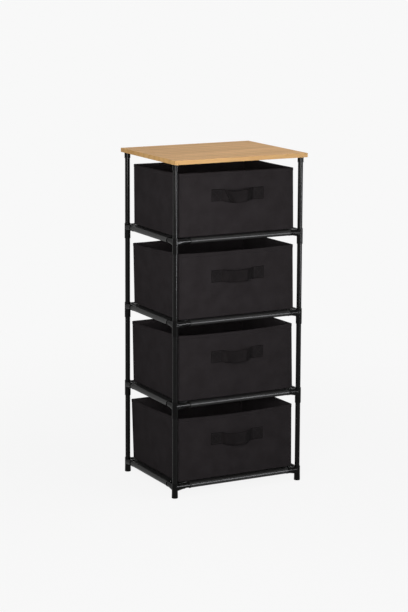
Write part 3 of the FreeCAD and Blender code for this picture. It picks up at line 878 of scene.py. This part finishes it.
# Floor and backdrop: a plain pale studio sweep. It is painted to show the photograph's near-white to the
# camera, fades into the backdrop far from the unit, and keeps the unit's soft shadow.
FLOOR_HALF = 60000
BACKDROP_COLOUR = "#f8f8f8"
FADE_START = 500
FADE_END = 2200


def background_rays(tree):
    """1 for the rays that are to see the pale background: camera, glossy and transmission rays."""
    path = add(tree, "ShaderNodeLightPath", {})
    seen = path.outputs["Is Camera Ray"]
    for kind in ("Is Glossy Ray", "Is Transmission Ray"):
        seen = add(tree, "ShaderNodeMath", {0: seen, 1: path.outputs[kind]}, operation="MAXIMUM").outputs[0]
    return seen


def make_floor():
    material, tree, shader = new_finish("studio_floor", Roughness=0.9)
    shader.inputs["Base Color"].default_value = linear("#a6a6a6")
    place = add(tree, "ShaderNodeTexCoord", {}).outputs["Object"]
    away = add(tree, "ShaderNodeVectorMath", {0: place}, operation="LENGTH")
    fade, glow = [add(tree, "ShaderNodeMapRange", {
        "Value": away.outputs["Value"], "From Min": FADE_START * MM, "From Max": FADE_END * MM,
        "To Min": near, "To Max": 1.0}, interpolation_type="SMOOTHSTEP").outputs[0] for near in (0.85, 1.11)]
    share = add(tree, "ShaderNodeMath", {0: fade, 1: background_rays(tree)}, operation="MULTIPLY")
    paint = add(tree, "ShaderNodeEmission", {"Color": linear(BACKDROP_COLOUR), "Strength": glow})
    mixed = add(tree, "ShaderNodeMixShader", {
        0: share.outputs[0], 1: shader.outputs[0], 2: paint.outputs[0]})
    tree.links.new(mixed.outputs[0], tree.nodes["Material Output"].inputs["Surface"])
    points = [(x * FLOOR_HALF, y * FLOOR_HALF, 0) for x, y in ((-1, -1), (1, -1), (1, 1), (-1, 1))]
    floor = make_piece("studio_sweep", points, [(0, 1, 2, 3)], [(0, 0)] * 4, material, smooth=False)


make_floor()

# Studio air: a weak even light on the unit, and the pale backdrop where the camera looks past it.
world = bpy.data.worlds.new("studio_air")
bpy.context.scene.world = world
world.use_nodes = True
tree = world.node_tree
surround = tree.nodes["Background"]
surround.inputs["Color"].default_value = linear("#f4f4f6")
surround.inputs["Strength"].default_value = 0.2
backdrop = add(tree, "ShaderNodeBackground", {"Color": linear(BACKDROP_COLOUR), "Strength": 1.0})
mixed = add(tree, "ShaderNodeMixShader", {
    0: background_rays(tree), 1: surround.outputs[0], 2: backdrop.outputs[0]})
tree.links.new(mixed.outputs[0], tree.nodes["World Output"].inputs["Surface"])


# Lamps: a soft key at the front left, gridded and aimed a little high so that its light falls off down the
# unit, a bright box at the front right that shows only in reflections, as the line of light down each tube,
# a weak warm strip far round on the left, and a box over the board. Distances and sizes are in metres.
def make_lamp(name, turn, height, distance, width, tall, watts, colour, aim_height,
              spread=180, only_shine=False):
    """A rectangular soft box. turn is in degrees from straight in front, towards the right."""
    lamp = bpy.data.lights.new(name, "AREA")
    lamp.shape = "RECTANGLE"
    lamp.size = width
    lamp.size_y = tall
    lamp.energy = watts
    lamp.color = linear(colour)[:3]
    lamp.spread = spread * pi / 180
    rig = bpy.data.objects.new(name, lamp)
    rig.visible_diffuse = not only_shine
    bpy.context.scene.collection.objects.link(rig)
    angle = turn * pi / 180
    rig.location = (distance * sin(angle), -distance * cos(angle), height)
    aim = Vector((0, 0, aim_height)) - rig.location
    rig.rotation_mode = "QUATERNION"
    rig.rotation_quaternion = aim.to_track_quat("-Z", "Y")


make_lamp("key_box", -34, 1.0, 2.3, 1.0, 0.8, 22, "#fffefc", aim_height=1.15, spread=110)
make_lamp("right_strip", 25, 0.5, 2.33, 0.5, 0.7, 60, "#fafaff", aim_height=0.48, only_shine=True)
make_lamp("left_strip", -122, 0.6, 2.4, 0.5, 1.2, 2, "#fff6e4", aim_height=0.6)
make_lamp("top_box", 40, 2.6, 0.5, 1.0, 1.0, 15, "#fffefc", aim_height=1.0)


# Camera: the photograph's viewpoint, to the left of the unit and a little above it, fitted to the edges of
# the board, legs and rails. Its place is in metres, its turn, dip and tilt in radians, the rest in pixels.
CAMERA_PLACE = (-2.71619, -5.06992, 1.68163)
CAMERA_TURN = 0.487075
CAMERA_DIP = 0.146652
CAMERA_TILT = 0.004323
FOCAL_LENGTH = 1940.96
PICTURE_HEIGHT = 612
PICTURE_SHIFT = -100


def make_camera():
    ahead = Vector((sin(CAMERA_TURN) * cos(CAMERA_DIP), cos(CAMERA_TURN) * cos(CAMERA_DIP), -sin(CAMERA_DIP)))
    level = Vector((cos(CAMERA_TURN), -sin(CAMERA_TURN), 0))
    rise = level.cross(ahead)
    right = level * cos(CAMERA_TILT) + rise * sin(CAMERA_TILT)
    over = rise * cos(CAMERA_TILT) - level * sin(CAMERA_TILT)
    lens = bpy.data.cameras.new("viewpoint")
    lens.sensor_width = 36.0
    lens.lens = FOCAL_LENGTH / PICTURE_HEIGHT * lens.sensor_width
    lens.shift_y = PICTURE_SHIFT / PICTURE_HEIGHT
    lens.clip_end = 200.0
    camera = bpy.data.objects.new("viewpoint", lens)
    bpy.context.scene.collection.objects.link(camera)
    turned = Matrix((right, over, -ahead)).transposed()
    camera.matrix_world = Matrix.Translation(CAMERA_PLACE) @ turned.to_4x4()
    bpy.context.scene.camera = camera


make_camera()
bpy.context.scene.view_settings.view_transform = "Standard"
